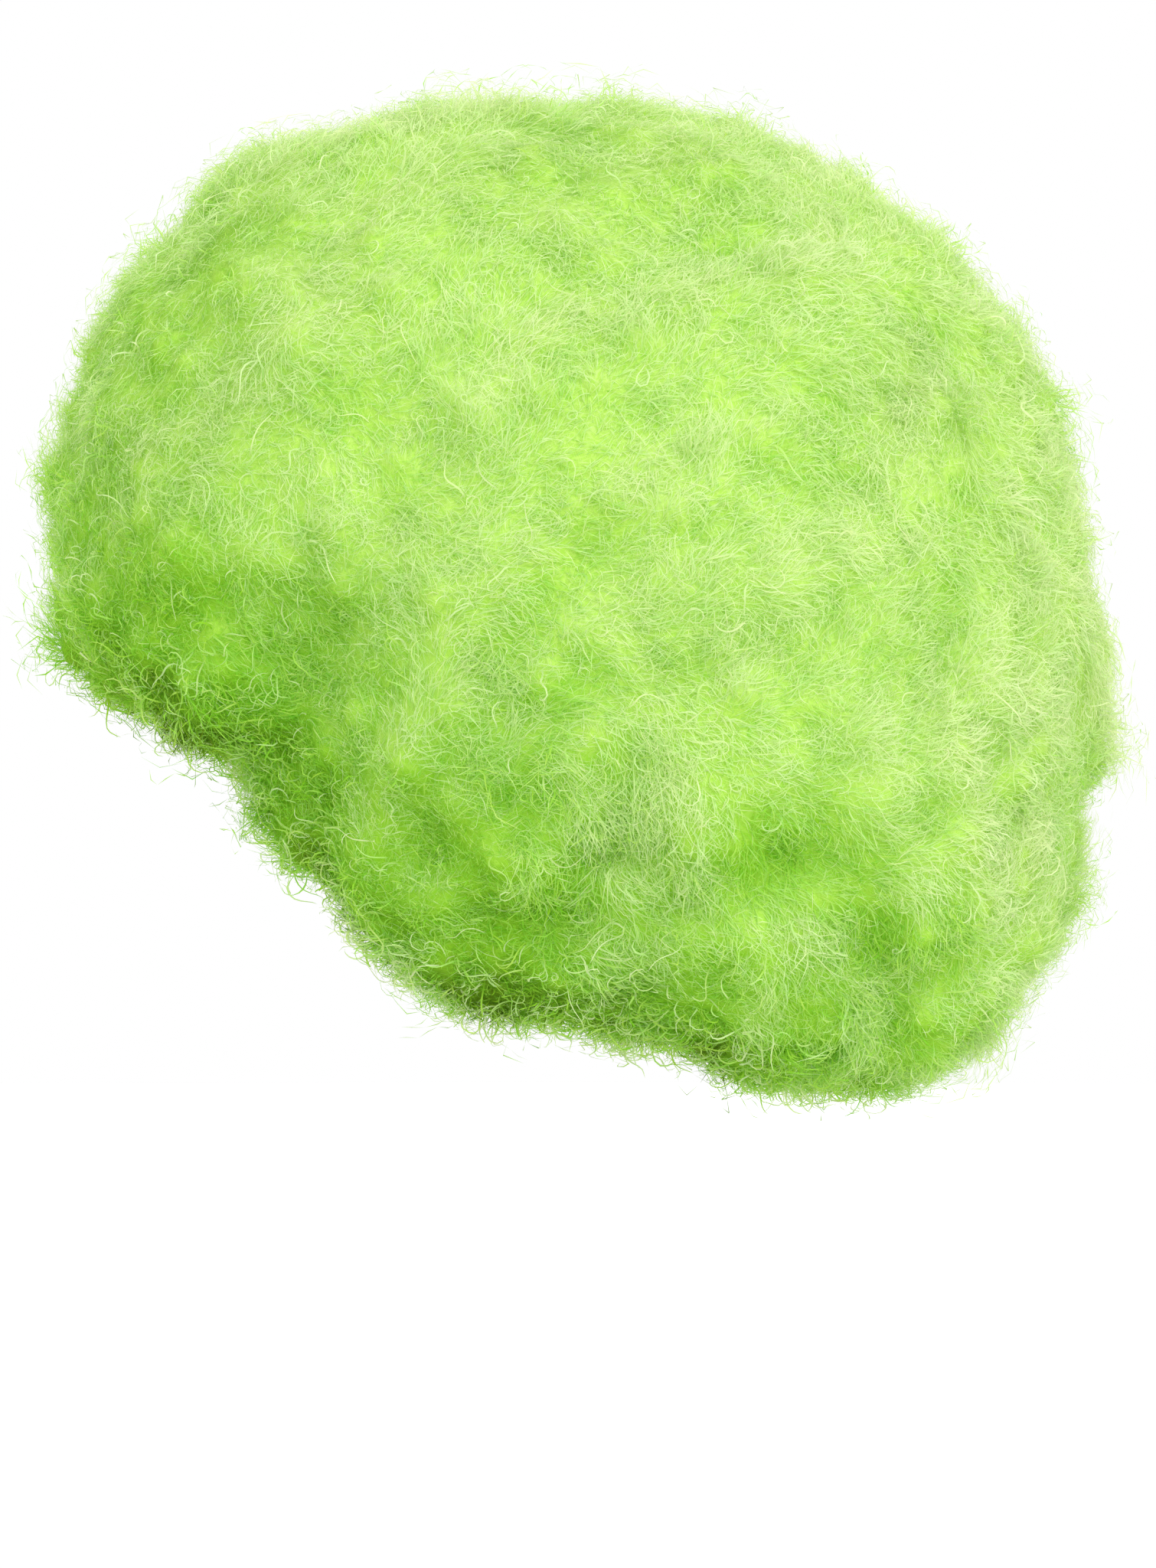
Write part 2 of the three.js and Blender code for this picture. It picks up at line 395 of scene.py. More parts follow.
def fibre_lines(tree, place, scale, turn):
    """Fine bent lines that run side by side, darker between the lines than along them."""
    mapping = tree.nodes.new("ShaderNodeMapping")
    mapping.inputs["Rotation"].default_value = (turn, 2 * turn, 0)
    tree.links.new(place, mapping.inputs["Vector"])
    swirl = tree.nodes.new("ShaderNodeTexNoise")
    swirl.inputs["Scale"].default_value = scale
    swirl.inputs["Detail"].default_value = 3
    swirl.inputs["Distortion"].default_value = 1.2
    tree.links.new(mapping.outputs["Vector"], swirl.inputs["Vector"])
    wave = maths(tree, "SINE", maths(tree, "MULTIPLY", swirl.outputs["Fac"], LINE_COUNT))
    return map_range(tree, wave, from_min=0.0, to_min=LINE_TONES[0], to_max=LINE_TONES[1])


def shaded_under_fibres(colour):
    """A fibre colour with the painted shade that it has between the fibres."""
    return tuple(PAINTED_SHADE_UNDER_FIBRES * part for part in colour)


def mass_material(fibres):
    """Dense hair under the fibres: its tone, with painted light and shade, is kept in the mesh, with fine
    bent lines of fibres over it.
    """
    material, tree, shader = new_material("hair_mass")
    place = tree.nodes.new("ShaderNodeTexCoord").outputs["Object"]
    tone = tree.nodes.new("ShaderNodeAttribute")
    tone.attribute_name = TONE_MAP
    lines = [fibre_lines(tree, place, scale, turn) for scale, turn in zip(LINE_SCALES, LINE_TURNS)]
    either = maths(tree, "MAXIMUM", *lines)
    lined = maths(tree, "MULTIPLY", tone.outputs["Fac"], either)
    colour = tint_ramp(tree, lined, [
        (0.0, fibres.shade),
        (0.3, shaded_under_fibres(fibres.deep)),
        (0.6, shaded_under_fibres(fibres.lime)),
        (0.95, shaded_under_fibres(fibres.pale)),
    ])
    tree.links.new(colour, shader.inputs["Base Color"])
    add_bump(tree, shader, either, LINE_HEIGHT)
    shader.inputs["Roughness"].default_value = 0.9
    shader.inputs["Specular IOR Level"].default_value = 0.05
    return material


def cloth_material(name, colour, pitch, z_scale):
    """Fine uneven knit: small cells as painted shade in their middles and as bump, which a z_scale below 1
    makes taller.
    """
    material, tree, shader = new_material(name)
    place = tree.nodes.new("ShaderNodeTexCoord")
    mapping = tree.nodes.new("ShaderNodeMapping")
    mapping.inputs["Scale"].default_value = (1, 1, z_scale)
    tree.links.new(place.outputs["Object"], mapping.inputs["Vector"])
    cells = tree.nodes.new("ShaderNodeTexVoronoi")
    cells.inputs["Scale"].default_value = 1 / pitch
    cells.inputs["Randomness"].default_value = 1
    tree.links.new(mapping.outputs["Vector"], cells.inputs["Vector"])
    # Painted shade in the middle of each cell
    dark = tuple(CELL_SHADE * part for part in colour)
    shaded = tint_ramp(tree, cells.outputs["Distance"], [(0.15, dark), (0.55, colour)])
    tree.links.new(shaded, shader.inputs["Base Color"])
    add_bump(tree, shader, cells.outputs["Distance"], CELL_HEIGHT)
    shader.inputs["Roughness"].default_value = 0.85
    shader.inputs["Sheen Weight"].default_value = 0.3
    return material


# Fields of the hair

PUFF_CENTRE = np.array((0.0, 31.0, -30.0)) * MM
HEAD_HALF_HEIGHT = 105 * MM

# Where the hair's surface counts as outside, by how much it faces away from the middle
OUTSIDE_FACING = (-0.1, 0.35)
WALL_OUTWARDNESS = 0.3
# How far the look of the edges at the face and the neck reaches
RIM_REACH = 75 * MM

# Small puffs on the broad ones, as shares of their size and height, and the height of both
FINE_PUFF_SIZE = 0.45
FINE_PUFF_HEIGHT = 0.8
PUFF_SWING = 0.2

# Painted light and shade by place, paler high up and darker low at the front: the levels between which it
# rises, tilted at the back and the front, and the painted shade that the front gets
PAINTED_LIGHT_LEVELS = (-0.7, 0.2)
BACK_TILT = 0.4
FRONT_TILT = 0.2
FRONT_SHARES = (0.4, 1)
PAINTED_LIGHT_RISE = 0.31
PAINTED_FRONT_SHADE = 0.14
PAINTED_LIGHT_BASE = 0.17

# Ruffling into puffs: below, what the crown loses of it, and the levels between which it is lost
LOW_RUFFLE = 1.35
CROWN_LOSS = 0.75
RUFFLE_LEVELS = (-0.6, 0.3)

# Painted shade in the gaps between the curls at the edges
BROAD_GAP_SIZE = 34 * MM
FINE_GAP_SIZE = 11 * MM
GAP_MIDDLE = 0.42
GAP_SWING = 0.55
# Shadow at the edges: how fast it fades, and its shares on the curls and in the gaps
SHADOW_FADE = 1.4
CURL_SHADOW = 0.3
GAP_SHADOW = 0.7

# Swirls of the hair's lie: their sizes, and how far they turn it
BROAD_SWIRL_SIZE = 75 * MM
FINE_SWIRL_SIZE = 26 * MM
BROAD_SWIRL_TURN = 0.9
FINE_SWIRL_TURN = 0.4


def outwardness(places, normals):
    """1 on the outside of the hair, 0 on the walls round the head and the face."""
    facing = dot(unit(places - PUFF_CENTRE), normals)[:, 0]
    return smooth_step(*OUTSIDE_FACING, facing)


def head_share(places):
    """How far out points lie from the middle of the head, where 1 is the outside of the cap."""
    half_sizes = (CAP_HIGH.x, CAP_HIGH.y, HEAD_HALF_HEIGHT + CAP_HIGH.z)
    return np.linalg.norm((places + (0, 0, HEAD_HALF_HEIGHT)) / half_sizes, axis=-1)


def soft_puffs(size, seed):
    """The puffs of the hair, as a function of places: 0 in the creases between them, 1 on their tops."""
    rng = np.random.default_rng(seed)
    broad = random_field(rng, size)
    fine = random_field(rng, FINE_PUFF_SIZE * size)

    def height(places):
        swell = broad(places)[:, 0] + FINE_PUFF_HEIGHT * fine(places)[:, 0]
        return np.clip(0.5 + PUFF_SWING * swell, 0, 1)

    return height


def painted_light_by_place(places):
    """What the place adds to a tint as painted light and shade: most above the ears and at the back, least
    low at the front.
    """
    way = unit(places - PUFF_CENTRE)
    level = way[:, 2] + np.where(way[:, 1] > 0, BACK_TILT, FRONT_TILT) * way[:, 1]
    upper = PAINTED_LIGHT_RISE * smooth_step(*PAINTED_LIGHT_LEVELS, level)
    front = PAINTED_FRONT_SHADE * smooth_step(*FRONT_SHARES, -way[:, 1])
    return upper - front - PAINTED_LIGHT_BASE


def ruffle(places):
    """How strongly the hair is ruffled into puffs: least on the crown."""
    return LOW_RUFFLE - CROWN_LOSS * smooth_step(*RUFFLE_LEVELS, unit(places - PUFF_CENTRE)[:, 2])


def upturned(places, normals):
    """How much more a surface faces up than the round outside of the hair does at the same place."""
    return normals[:, 2] - unit(places - PUFF_CENTRE)[:, 2]


def rim_nearness(mesh):
    """A function of places: 1 at the edges of the hair round the face and the neck, 0 well away."""
    places, normals = vertex_arrays(mesh)
    walls = tree_of(places[outwardness(places, normals) < WALL_OUTWARDNESS])

    def nearness(points):
        away = np.array([walls.find(point)[2] for point in points])
        return 1 - smooth_step(0, RIM_REACH, away)

    return nearness


def painted_shade_gaps(seed):
    """Painted shade in the gaps between the curls at the edges, as a function of places: 1 in a gap, 0 on a
    curl.
    """
    rng = np.random.default_rng(seed + 1)
    broad = random_field(rng, BROAD_GAP_SIZE)
    fine = random_field(rng, FINE_GAP_SIZE)

    def depth(places):
        deep = GAP_MIDDLE + GAP_SWING * broad(places)[:, 0] + GAP_SWING * fine(places)[:, 0]
        return np.clip(deep, 0, 1)

    return depth


def edge_shadow(near, gaps):
    """How much painted shade the hair at the edges gets, from its nearness to them and the gaps there."""
    return near ** SHADOW_FADE * (CURL_SHADOW + GAP_SHADOW * gaps)


def hair_flow(rng):
    """The way that the hair lies, as a function of places: round the head, turned by slow swirls."""
    broad = random_field(rng, BROAD_SWIRL_SIZE)
    fine = random_field(rng, FINE_SWIRL_SIZE)

    def flow(places, normals):
        level = unit(np.cross((0, 0, 1), normals))
        turn = BROAD_SWIRL_TURN * broad(places)[:, :1] + FINE_SWIRL_TURN * fine(places)[:, :1]
        return turned(level, normals, turn)

    return flow


def scatter(mesh, count, rng, density):
    """Random places on a mesh with their normals; density is a number for each vertex."""
    mesh.calc_loop_triangles()
    corners = np.empty(len(mesh.loop_triangles) * 3, np.int32)
    mesh.loop_triangles.foreach_get("vertices", corners)
    corners = corners.reshape(-1, 3)
    places, normals = vertex_arrays(mesh)
    a, b, c = (places[corners[:, i]] for i in range(3))
    areas = np.linalg.norm(np.cross(b - a, c - a), axis=-1)
    weights = areas * density[corners].mean(-1)
    chosen = np.searchsorted(np.cumsum(weights), rng.uniform(0, weights.sum(), count))
    u, v = rng.uniform(size=(2, count))
    folded = u + v > 1
    u, v = np.where(folded, 1 - u, u), np.where(folded, 1 - v, v)
    shares = np.stack([1 - u - v, u, v], -1)[..., None]
    return (places[corners[chosen]] * shares).sum(1), unit((normals[corners[chosen]] * shares).sum(1))


# Mass of hair

# Where the edges of the hair lie, as shares of the head
EDGE_HEAD_SHARES = (1.04, 1.12)
SMOOTH_FACTOR = 0.5
# Heights of the clumps, as shares of the highest
CLUMP_HEIGHTS = (0.3, 1)
# Tone of the mass: everywhere, and the painted light and shade on the puffs and where it faces up
MASS_TONE = 0.42
MASS_PUFF_PAINTED_LIGHT = 0.1
MASS_UPTURNED_PAINTED_LIGHT = 0.2


def mark_outside(piece):
    """Makes vertex groups of the outside of the hair and of its edges at the face and the neck."""
    places, normals = vertex_arrays(piece.data)
    outer = outwardness(places, normals)
    edges = (1 - outer) * smooth_step(*EDGE_HEAD_SHARES, head_share(places))
    for name, weights in (("outside", outer), ("edges", edges)):
        group = piece.vertex_groups.new(name=name)
        for index, weight in enumerate(weights):
            group.add([index], float(weight), "REPLACE")


class WIG_OT_hair_mass(bpy.types.Operator):
    """Turn the locks into one soft dense mass with puffs and small clumps"""

    bl_idname = "wig.hair_mass"
    bl_label = "Hair mass"

    def execute(self, context):
        mass = context.scene.wig_mass
        fibres = context.scene.wig_fibres
        piece = merged_copy("hair", "hair_mass")
        self.soften(piece, mass)
        mark_outside(piece)
        for group, inset in (("outside", mass.inset), ("edges", mass.edge_inset)):
            apply_modifier(piece, "DISPLACE", strength=-inset, mid_level=0.0, vertex_group=group)
        self.soften(piece, mass)
        self.raise_puffs(piece.data, mass, fibres.seed)
        make_active(piece)
        bpy.ops.object.shade_smooth()
        finish_piece(piece, mass_material(fibres), "hair_fibre", "hair")
        return {"FINISHED"}

    def soften(self, piece, mass):
        """Fuses the locks into one even mesh and smooths it."""
        apply_modifier(piece, "REMESH", mode="VOXEL", voxel_size=mass.voxel)
        apply_modifier(piece, "SMOOTH", factor=SMOOTH_FACTOR, iterations=mass.smooth_rounds)

    def raise_puffs(self, mesh, mass, seed):
        """Lifts puffs and clumps off the outside, and keeps the tone of each vertex, with painted light and
        shade, dark at the edges.
        """
        places, normals = vertex_arrays(mesh)
        share = soft_puffs(mass.puff_size, seed)(places)
        outer = outwardness(places, normals)
        near = rim_nearness(mesh)(places)
        rise = mass.puff_height * ruffle(places) * (share - 0.5)
        rise += (1 - near) * self.clumps(mesh, places, outer, mass, seed)
        rise *= outer
        mesh.vertices.foreach_set("co", (places + normals * rise[:, None]).astype(np.float32).ravel())
        mesh.update()
        # Painted light and shade in the tone: paler up high, at the back, on puff tops and where the surface
        # faces up; darker in creases and low at the front
        tone = MASS_TONE + MASS_PUFF_PAINTED_LIGHT * share + painted_light_by_place(places)
        tone += MASS_UPTURNED_PAINTED_LIGHT * upturned(*vertex_arrays(mesh))
        # Painted shade at the edges and in the gaps between the curls
        tone *= 1 - edge_shadow(near, painted_shade_gaps(seed)(places))
        kept = mesh.attributes.new(TONE_MAP, "FLOAT", "POINT")
        kept.data.foreach_set("value", tone.astype(np.float32))

    def clumps(self, mesh, places, outer, mass, seed):
        """How far each place is lifted by the small clump that is nearest to it."""
        rng = np.random.default_rng(seed + 2)
        middles, _ = scatter(mesh, mass.clump_count, rng, outer)
        heights = mass.clump_height * rng.uniform(*CLUMP_HEIGHTS, len(middles))
        index = nearest(middles, places)
        away = np.linalg.norm(places - middles[index], axis=-1)
        return heights[index] * np.exp(-(away / mass.clump_size) ** 2)


# Fibres

# Where fibres start to grow, as shares of the head
FREE_HEAD_SHARES = (1.05, 1.09)
# Vigour of the tufts: spread, what keeps the mean near 1, and limits
VIGOUR_SPREAD = 0.5
VIGOUR_DROP = 0.1
VIGOUR_LIMITS = (0.5, 2.6)
# What the fibres of a tuft share of their heading and of their curl, and what is a fibre's own
TUFT_TURN = 0.25
TUFT_CURL = 0.8
OWN_CURL = 0.6
# Spread between fibres, as shares of the layer's own values
KINK_SPREAD = (0.5, 1.5)
LENGTH_SPREAD = (0.5, 1.5)
WIDTH_SPREAD = (0.7, 1.3)
# Length in the creases, and what the top of a puff adds to it
CREASE_LENGTH = 0.8
PUFF_LENGTH = 0.4
# Tint of the fibres: the painted light and shade that puffs and faces that look up add, what tufts add, and
# the least away from shadow
PUFF_PAINTED_LIGHT_TINT = 0.25
UPTURNED_PAINTED_LIGHT_TINT = 0.25
TUFT_TINT = 0.04
LEAST_TINT = 0.32
# Lift at the root as a share of the layer's lift, and how much of a kink's swing goes up and down
ROOT_LIFT = 1.3
KINK_RISE = 0.6
KINK_LENGTHS = (14 * MM, 26 * MM)
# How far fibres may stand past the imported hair, and how much farther bent tips may reach
TIP_ROOM = 11 * MM
TIP_BEND = 6 * MM
# A fibre narrows once this less its share of the length is below 1
TAPER = 1.4
# How much paler a tip is than its root, and the share of the length where the tint is the fibre's own
TIP_PALER = 0.24
OWN_TINT_AT = 0.6
# Limits of the tint map, whose two sides differ a little so that none of its triangles is empty
TINT_LIMITS = (0.01, 0.99)
WARMTHS = (0.05, 0.95)
WARMTH_STEP = 0.01


class FibreLayer(NamedTuple):
    """How one layer of fibres grows and looks; angles are in radians"""

    # Its name in the settings, its number of pieces, and the path points of a fibre
    kind: str
    parts: int
    points: int
    # Whether the fibres are ribbons, or else chains of thin triangles
    ribbon: bool
    # Density away from the edges at the face and the neck, and at them
    away: float
    rim: float
    # Least and greatest angle off the surface, and how much of it is lost along the fibre
    lift: tuple
    bend: float
    # Spread of the headings and of the turn to one side, and mean swing of the corkscrew
    own_way: float
    curl: float
    kink: float
    # Power of a tuft's vigour over density and length, and how far tips are drawn to the tuft's middle
    tufted: float
    gather: float
    # Drop of the tip as a share of the length, and greatest turn of the flat side
    sag: float
    roll: float
    # Width as a multiple of the setting
    width: float
    # Middle and spread of the tint, and what full shadow at the edges adds to it
    tint: float
    tint_spread: float
    rim_tint: float


FIBRE_LAYERS = (
    FibreLayer(
        "down", parts=2, points=3, ribbon=False, away=1.0, rim=1.1, lift=(0.25, 0.7), bend=1.2,
        own_way=0.5, curl=0.6, kink=0.0, tufted=0.3, gather=0.1, sag=0.0, roll=0.5, width=1.6,
        tint=0.62, tint_spread=0.06, rim_tint=-0.64),
    FibreLayer(
        "coat", parts=2, points=7, ribbon=False, away=1.0, rim=0.7, lift=(0.25, 0.65), bend=1.4,
        own_way=0.55, curl=1.4, kink=0.3, tufted=0.3, gather=0.3, sag=0.0, roll=0.5, width=1.3,
        tint=0.73, tint_spread=0.06, rim_tint=-0.62),
    FibreLayer(
        "frizz", parts=2, points=5, ribbon=False, away=1.0, rim=0.8, lift=(0.7, 1.5), bend=1.7,
        own_way=0.8, curl=3.4, kink=0.5, tufted=1.0, gather=0.5, sag=0.0, roll=1.5, width=1.7,
        tint=0.59, tint_spread=0.07, rim_tint=-0.4),
    FibreLayer(
        "curl", parts=1, points=11, ribbon=True, away=0.06, rim=1.0, lift=(0.25, 0.75), bend=1.5,
        own_way=1.2, curl=3.8, kink=0.9, tufted=0.0, gather=0.2, sag=0.05, roll=1.2, width=2.0,
        tint=0.72, tint_spread=0.13, rim_tint=0.0),
    FibreLayer(
        "flyaway", parts=1, points=11, ribbon=False, away=1.0, rim=1.0, lift=(0.7, 1.3), bend=1.6,
        own_way=0.9, curl=3.8, kink=0.8, tufted=1.5, gather=0.5, sag=0.0, roll=1.5, width=1.7,
        tint=0.45, tint_spread=0.1, rim_tint=0.0),
)


def grow(roots, normals, heading, lengths, points, lift, bend, curl, kink, rng):
    """Paths of fibres: each leaves its root along its heading, lifted off the surface, and bends over.

    Its curl turns it to one side, and its kinks are turns of a small corkscrew.
    """
    count = len(roots)
    step = lengths[:, None] / (points - 1)
    kinks = lengths[:, None] / rng.uniform(*KINK_LENGTHS, (count, 1))
    start = rng.uniform(0, 2 * math.pi, (count, 1))
    path = [roots]
    for k in range(points - 1):
        share = (k + 0.5) / (points - 1)
        swing = start + 2 * math.pi * kinks * share
        along = turned(heading, normals, curl[:, None] * share + kink[:, None] * np.sin(swing))
        angle = lift[:, None] * (ROOT_LIFT - bend * share) + KINK_RISE * kink[:, None] * np.cos(swing)
        path.append(path[-1] + step * (along * np.cos(angle) + normals * np.sin(angle)))
    return np.stack(path, 1)


def kept_in(paths):
    """Bends the farthest tips back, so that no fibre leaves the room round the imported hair."""
    low = np.array(CAD_LOW) - TIP_ROOM
    high = np.array(CAD_HIGH) + TIP_ROOM
    inside = np.clip(paths, low, high)
    past = paths - inside
    return inside + np.sign(past) * TIP_BEND * (1 - np.exp(-np.abs(past) / TIP_BEND))


def fibre_corners(points, ribbon):
    """The path point and the side of each corner of one fibre, and the triangles between the corners.

    A ribbon is sharp at its ends alone. Any other fibre is a chain of thin triangles, sharp at every
    second point.
    """
    wide = np.arange(points) % 2 == 1
    if ribbon:
        wide[1:-1] = True
    section = np.repeat(np.arange(points), 1 + wide)
    first = np.cumsum(1 + wide) - (1 + wide)
    sign = np.zeros(len(section))
    sign[first[wide]] = 1
    sign[first[wide] + 1] = -1
    faces = []
    for k in range(points - 1):
        a, b = first[k], first[k + 1]
        if wide[k]:
            faces.append((a, a + 1, b + wide[k + 1]))
        if wide[k + 1]:
            faces.append((a, b + 1, b))
    return section, sign, np.array(faces)


def fibre_mesh(name, paths, normals, widths, tints, roll, ribbon, rng):
    """One mesh of fibres along the paths, with each fibre's tint in a UV map."""
    count, points = paths.shape[:2]
    along = unit(np.gradient(paths, axis=1))
    out = np.repeat(normals[:, None], points, 1)
    face = unit(out - dot(out, along) * along)
    face = turned(face, along, rng.uniform(-roll, roll, (count, 1, 1)))
    side = np.cross(face, along)

    section, sign, triangles = fibre_corners(points, ribbon)
    share = section / (points - 1)
    reach = widths[:, None] / 2 * sign * np.minimum(1, TAPER - share)
    verts = paths[:, section] + side[:, section] * reach[..., None]
    faces = (np.arange(count)[:, None, None] * len(section) + triangles).reshape(-1, 3)

    mesh = bpy.data.meshes.new(name)
    mesh.vertices.add(verts.size // 3)
    mesh.vertices.foreach_set("co", verts.astype(np.float32).ravel())
    mesh.loops.add(faces.size)
    mesh.loops.foreach_set("vertex_index", faces.astype(np.int32).ravel())
    mesh.polygons.add(len(faces))
    mesh.polygons.foreach_set("loop_start", np.arange(0, faces.size, 3, dtype=np.int32))
    mesh.update(calc_edges=True)
    mesh.shade_smooth()
    warmth = rng.uniform(*WARMTHS, (count, 1)) + WARMTH_STEP * sign
    tint = np.clip(tints[:, None] + TIP_PALER * (share - OWN_TINT_AT), *TINT_LIMITS)
    uv = np.stack([tint, warmth], -1).reshape(-1, 2)
    layer = mesh.uv_layers.new(name=TINT_MAP)
    layer.uv.foreach_set("vector", uv[faces.ravel()].astype(np.float32).ravel())
    mesh.validate()
    piece = bpy.data.objects.new(name, mesh)
    bpy.context.scene.collection.objects.link(piece)
    return piece


class HairGround:
    """What the fibres grow from: the mass, its tufts, and the fields that the fibres follow"""

    def __init__(self, mesh, puff_size, tuft_count, seed):
        self.mesh = mesh
        self.rng = np.random.default_rng(seed)
        self.flow = hair_flow(self.rng)
        self.puffs = soft_puffs(puff_size, seed)
        self.nearness = rim_nearness(mesh)
        self.gaps = painted_shade_gaps(seed)
        places, _ = vertex_arrays(mesh)
        self.free = smooth_step(*FREE_HEAD_SHARES, head_share(places))
        self.near = self.nearness(places)
        self.tufts, _ = scatter(mesh, tuft_count, self.rng, self.free)
        self.tuft_turn, self.tuft_curl, self.tuft_tint, vigour = self.rng.normal(size=(4, tuft_count))
        self.vigour = np.clip(np.exp(VIGOUR_SPREAD * vigour - VIGOUR_DROP), *VIGOUR_LIMITS)
        self.growth = self.vigour[nearest(self.tufts, places)]

    def roots(self, layer, count):
        """Random places where a layer's fibres start, with their normals."""
        density = self.free * (layer.away * (1 - self.near) + layer.rim * self.near)
        return scatter(self.mesh, count, self.rng, density * self.growth ** layer.tufted)

    def paths(self, layer, roots, normals, tuft, length):
        """Paths of a layer's fibres, gathered in their tufts."""
        count = len(roots)
        turn = TUFT_TURN * self.tuft_turn[tuft] + layer.own_way * self.rng.normal(size=count)
        heading = turned(self.flow(roots, normals), normals, turn[:, None])
        curl = layer.curl * (TUFT_CURL * self.tuft_curl[tuft] + OWN_CURL * self.rng.normal(size=count))
        kink = layer.kink * self.rng.uniform(*KINK_SPREAD, count)
        reach = length * self.rng.uniform(*LENGTH_SPREAD, count)
        reach = reach * (CREASE_LENGTH + PUFF_LENGTH * self.puffs(roots))
        reach *= self.vigour[tuft] ** layer.tufted
        lift = self.rng.uniform(*layer.lift, count)
        paths = grow(roots, normals, heading, reach, layer.points, lift, layer.bend, curl, kink, self.rng)
        share = np.linspace(0, 1, layer.points)[None, :, None]
        paths += layer.gather * share * (self.tufts[tuft] - roots)[:, None]
        paths += layer.sag * share ** 2 * reach[:, None, None] * (0, 0, -1)
        return paths

    def tints(self, layer, roots, normals, tuft):
        """Tints of a layer's fibres, from 0 for shade to 1 for the palest tips, with painted light and shade
        in them.
        """
        shadow = edge_shadow(self.nearness(roots), self.gaps(roots))
        # Painted light and shade in the tints: paler up high, on puff tops and on faces that look up; darker
        # in creases, low at the front and in shadow at the edges
        tints = layer.tint + painted_light_by_place(roots)
        tints += PUFF_PAINTED_LIGHT_TINT * ruffle(roots) * (self.puffs(roots) - 0.5)
        tints += layer.rim_tint * shadow
        tints += UPTURNED_PAINTED_LIGHT_TINT * upturned(roots, normals)
        tints += TUFT_TINT * self.tuft_tint[tuft] + layer.tint_spread * self.rng.normal(size=len(roots))
        return np.maximum(tints, LEAST_TINT * (1 - shadow))


class WIG_OT_hair_coat(bpy.types.Operator):
    """Grow the down, the coat, the frizz, the edge curls and the flyaways over the mass"""

    bl_idname = "wig.hair_coat"
    bl_label = "Hair coat"

    def execute(self, context):
        fibres = context.scene.wig_fibres
        mesh = bpy.data.objects["hair_mass"].data
        material = fibre_material(fibres)
        ground = HairGround(mesh, context.scene.wig_mass.puff_size, fibres.tuft_count, fibres.seed)
        for layer in FIBRE_LAYERS:
            count = getattr(fibres, f"{layer.kind}_count")
            length = getattr(fibres, f"{layer.kind}_length")
            roots, normals = ground.roots(layer, count)
            tuft = nearest(ground.tufts, roots)
            paths = kept_in(ground.paths(layer, roots, normals, tuft, length))
            tints = ground.tints(layer, roots, normals, tuft)
            widths = layer.width * fibres.width * ground.rng.uniform(*WIDTH_SPREAD, count)
            order = np.argsort(np.arctan2(roots[:, 0], PUFF_CENTRE[1] - roots[:, 1]))
            for part, chosen in enumerate(np.array_split(order, layer.parts), 1):
                piece = fibre_mesh(
                    f"hair_{layer.kind}_{part}", paths[chosen], normals[chosen], widths[chosen],
                    tints[chosen], layer.roll, layer.ribbon, ground.rng)
                finish_piece(piece, material, "hair_fibre")
        return {"FINISHED"}


# Cap and band

SHARP_ANGLE = math.radians(50)
BAND_BEVEL = 0.4 * MM
BAND_PITCH = 1.4 * MM
# Scale of the knit along Z, where less than 1 makes the cells taller
CAP_Z_SCALE = 1.0
BAND_Z_SCALE = 0.3


def shade_cloth(piece):
    """Shades a piece smooth, apart from its sharp edges."""
    make_active(piece)
    bpy.ops.object.shade_smooth_by_angle(angle=SHARP_ANGLE)


class WIG_OT_cap(bpy.types.Operator):
    """Finish the net cap"""

    bl_idname = "wig.cap"
    bl_label = "Cap"

    def execute(self, context):
        cap = context.scene.wig_cap
        piece = merged_copy("wig_cap", "cap_net")
        apply_modifier(piece, "SUBSURF", levels=1, render_levels=1)
        shade_cloth(piece)
        material = cloth_material("cap_net", cap.cap_colour, cap.net_pitch, CAP_Z_SCALE)
        finish_piece(piece, material, "cap_net", "wig_cap")
        return {"FINISHED"}


class WIG_OT_band(bpy.types.Operator):
    """Finish the elastic band along the cap's edge"""

    bl_idname = "wig.band"
    bl_label = "Edge band"

    def execute(self, context):
        cap = context.scene.wig_cap
        piece = merged_copy("edge_band", "edge_elastic")
        apply_modifier(piece, "BEVEL", width=BAND_BEVEL, segments=2)
        shade_cloth(piece)
        material = cloth_material("band_elastic", cap.band_colour, BAND_PITCH, BAND_Z_SCALE)
        finish_piece(piece, material, "band_elastic", "edge_band")
        return {"FINISHED"}


# Stage

# Directions and strengths of the lights, and how broad both are in the sky
LIGHTS = {
    "key": ((-0.9, -0.24, -0.36), 1.75),
    "back": ((0.92, 0.2, -0.33), 0.95),
}
LIGHT_BREADTH = math.radians(45)
SKY_STRENGTH = 1.0
FLOOR_RADIUS = 6
FLOOR_CORNERS = 96
FLOOR_COLOUR = (0.83, 0.83, 0.83, 1)


def soft_sun(name, direction, strength):
    """A broad soft light that shines along a direction."""
    light = bpy.data.lights.new(name, "SUN")
    light.energy = strength
    light.angle = LIGHT_BREADTH
    lamp = bpy.data.objects.new(name, light)
    lamp.rotation_euler = Vector(direction).to_track_quat("-Z", "Y").to_euler()
    bpy.context.scene.collection.objects.link(lamp)


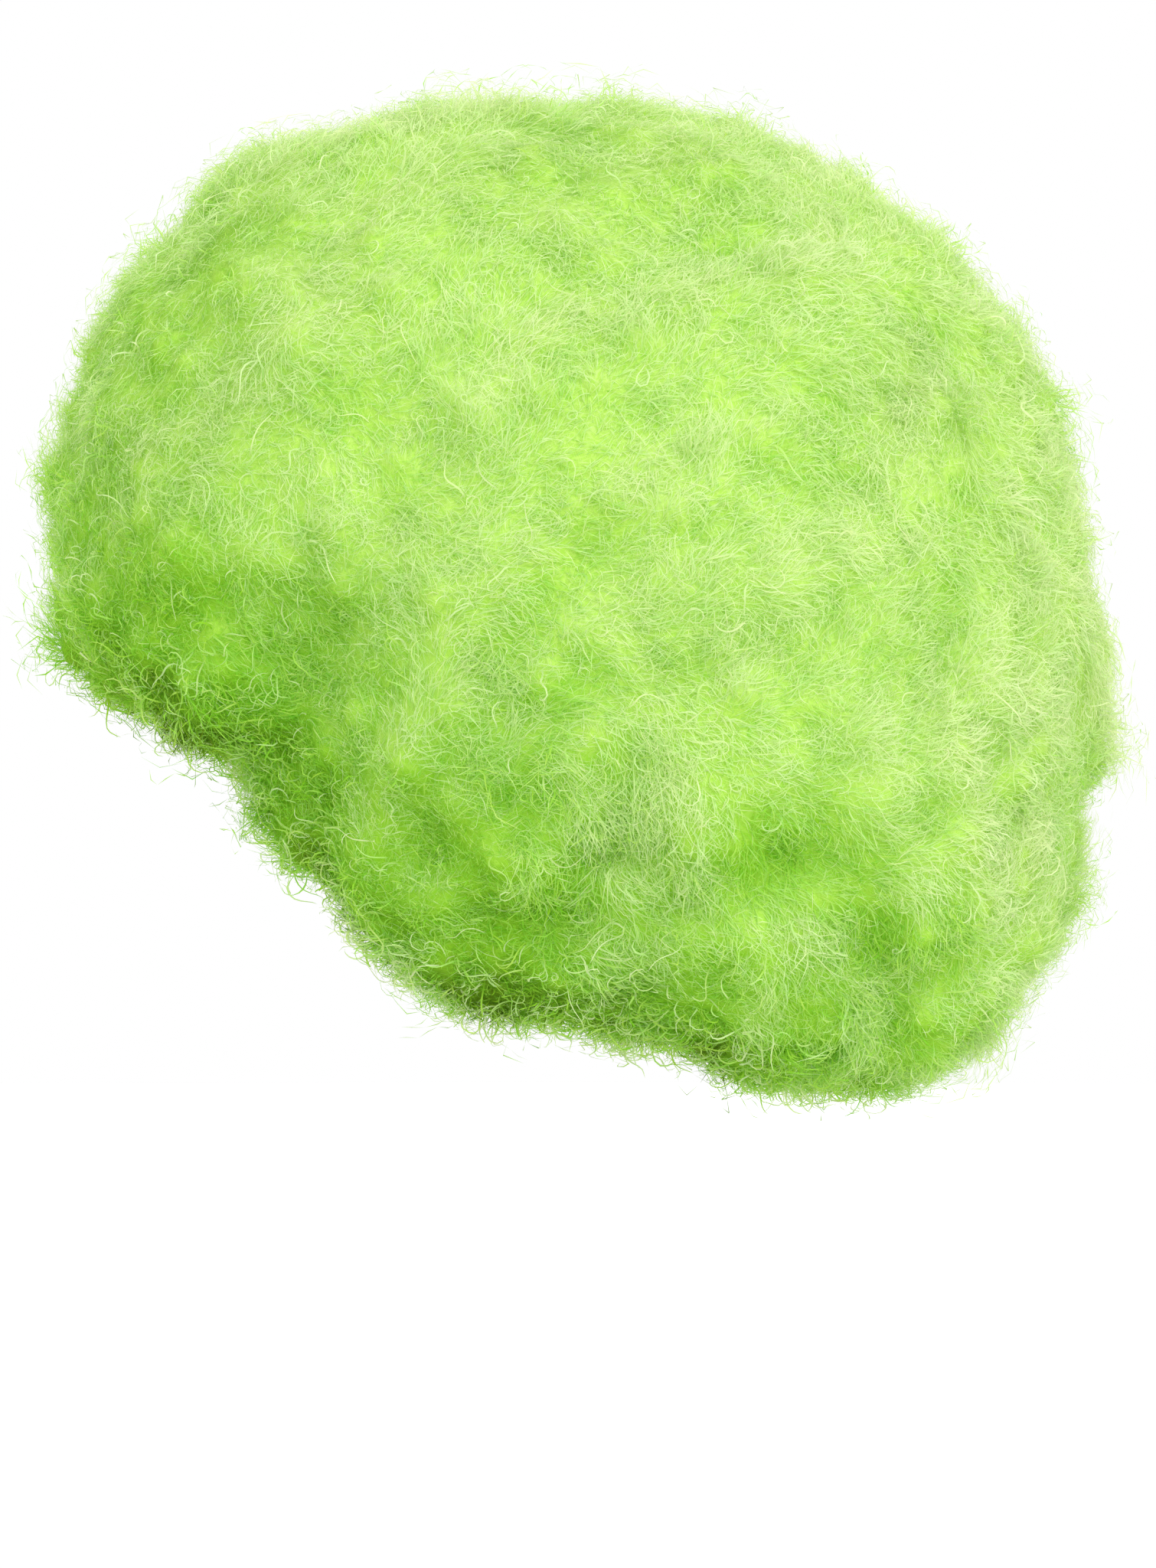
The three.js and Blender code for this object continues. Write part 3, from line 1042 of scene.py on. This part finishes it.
class WIG_OT_stage(bpy.types.Operator):
    """Set the camera, the soft light and the floor"""

    bl_idname = "wig.stage"
    bl_label = "Stage"

    def execute(self, context):
        stage = context.scene.wig_stage
        self.floor(CAD_LOW.z - stage.floor_drop)
        camera = bpy.data.cameras.new("camera")
        camera.lens = camera.sensor_width * stage.distance / stage.picture_height
        eye = bpy.data.objects.new("camera", camera)
        eye.location = Vector(stage.aim) + Vector((stage.distance, 0, 0))
        eye.rotation_euler = (math.pi / 2, 0, math.pi / 2)
        context.scene.collection.objects.link(eye)
        context.scene.camera = eye
        for name, (direction, strength) in LIGHTS.items():
            soft_sun(name, direction, strength)
        world = bpy.data.worlds.new("studio")
        world.use_nodes = True
        sky = world.node_tree.nodes["Background"]
        sky.inputs["Color"].default_value = (1, 1, 1, 1)
        sky.inputs["Strength"].default_value = SKY_STRENGTH
        context.scene.world = world
        context.scene.view_settings.view_transform = "Standard"
        return {"FINISHED"}

    def floor(self, level):
        """A flat pale floor that reaches far past the picture."""
        deselect()
        bpy.ops.mesh.primitive_circle_add(
            vertices=FLOOR_CORNERS, radius=FLOOR_RADIUS, fill_type="NGON", location=(0, 0, level))
        piece = bpy.context.object
        piece.name = "floor"
        bpy.ops.object.transform_apply(location=True)
        material, _, shader = new_material("pale_floor")
        shader.inputs["Base Color"].default_value = FLOOR_COLOUR
        shader.inputs["Roughness"].default_value = 0.9
        piece.data.materials.append(material)


# Panel and add-on

class WIG_PT_panel(bpy.types.Panel):
    """Lists the wig's operators and settings"""

    bl_idname = "WIG_PT_panel"
    bl_label = "Teased wig"
    bl_space_type = "VIEW_3D"
    bl_region_type = "UI"
    bl_category = "Wig"

    def draw(self, context):
        for operator in OPERATORS:
            self.layout.operator(operator.bl_idname)
        for name, group in SETTINGS.items():
            for prop in group.__annotations__:
                self.layout.prop(getattr(context.scene, name), prop)


SETTINGS = {
    "wig_mass": WigMassSettings,
    "wig_fibres": WigFibreSettings,
    "wig_cap": WigCapSettings,
    "wig_stage": WigStageSettings,
}
OPERATORS = (WIG_OT_stage, WIG_OT_hair_mass, WIG_OT_hair_coat, WIG_OT_cap, WIG_OT_band)


def register():
    for cls in (*SETTINGS.values(), *OPERATORS, WIG_PT_panel):
        bpy.utils.register_class(cls)
    for name, group in SETTINGS.items():
        setattr(bpy.types.Scene, name, bpy.props.PointerProperty(type=group))


def unregister():
    for name in SETTINGS:
        delattr(bpy.types.Scene, name)
    for cls in (WIG_PT_panel, *reversed(OPERATORS), *reversed(SETTINGS.values())):
        bpy.utils.unregister_class(cls)


def main():
    register()
    bpy.ops.wig.stage()
    bpy.ops.wig.hair_mass()
    bpy.ops.wig.hair_coat()
    bpy.ops.wig.cap()
    bpy.ops.wig.band()


if __name__ == "__main__":
    main()
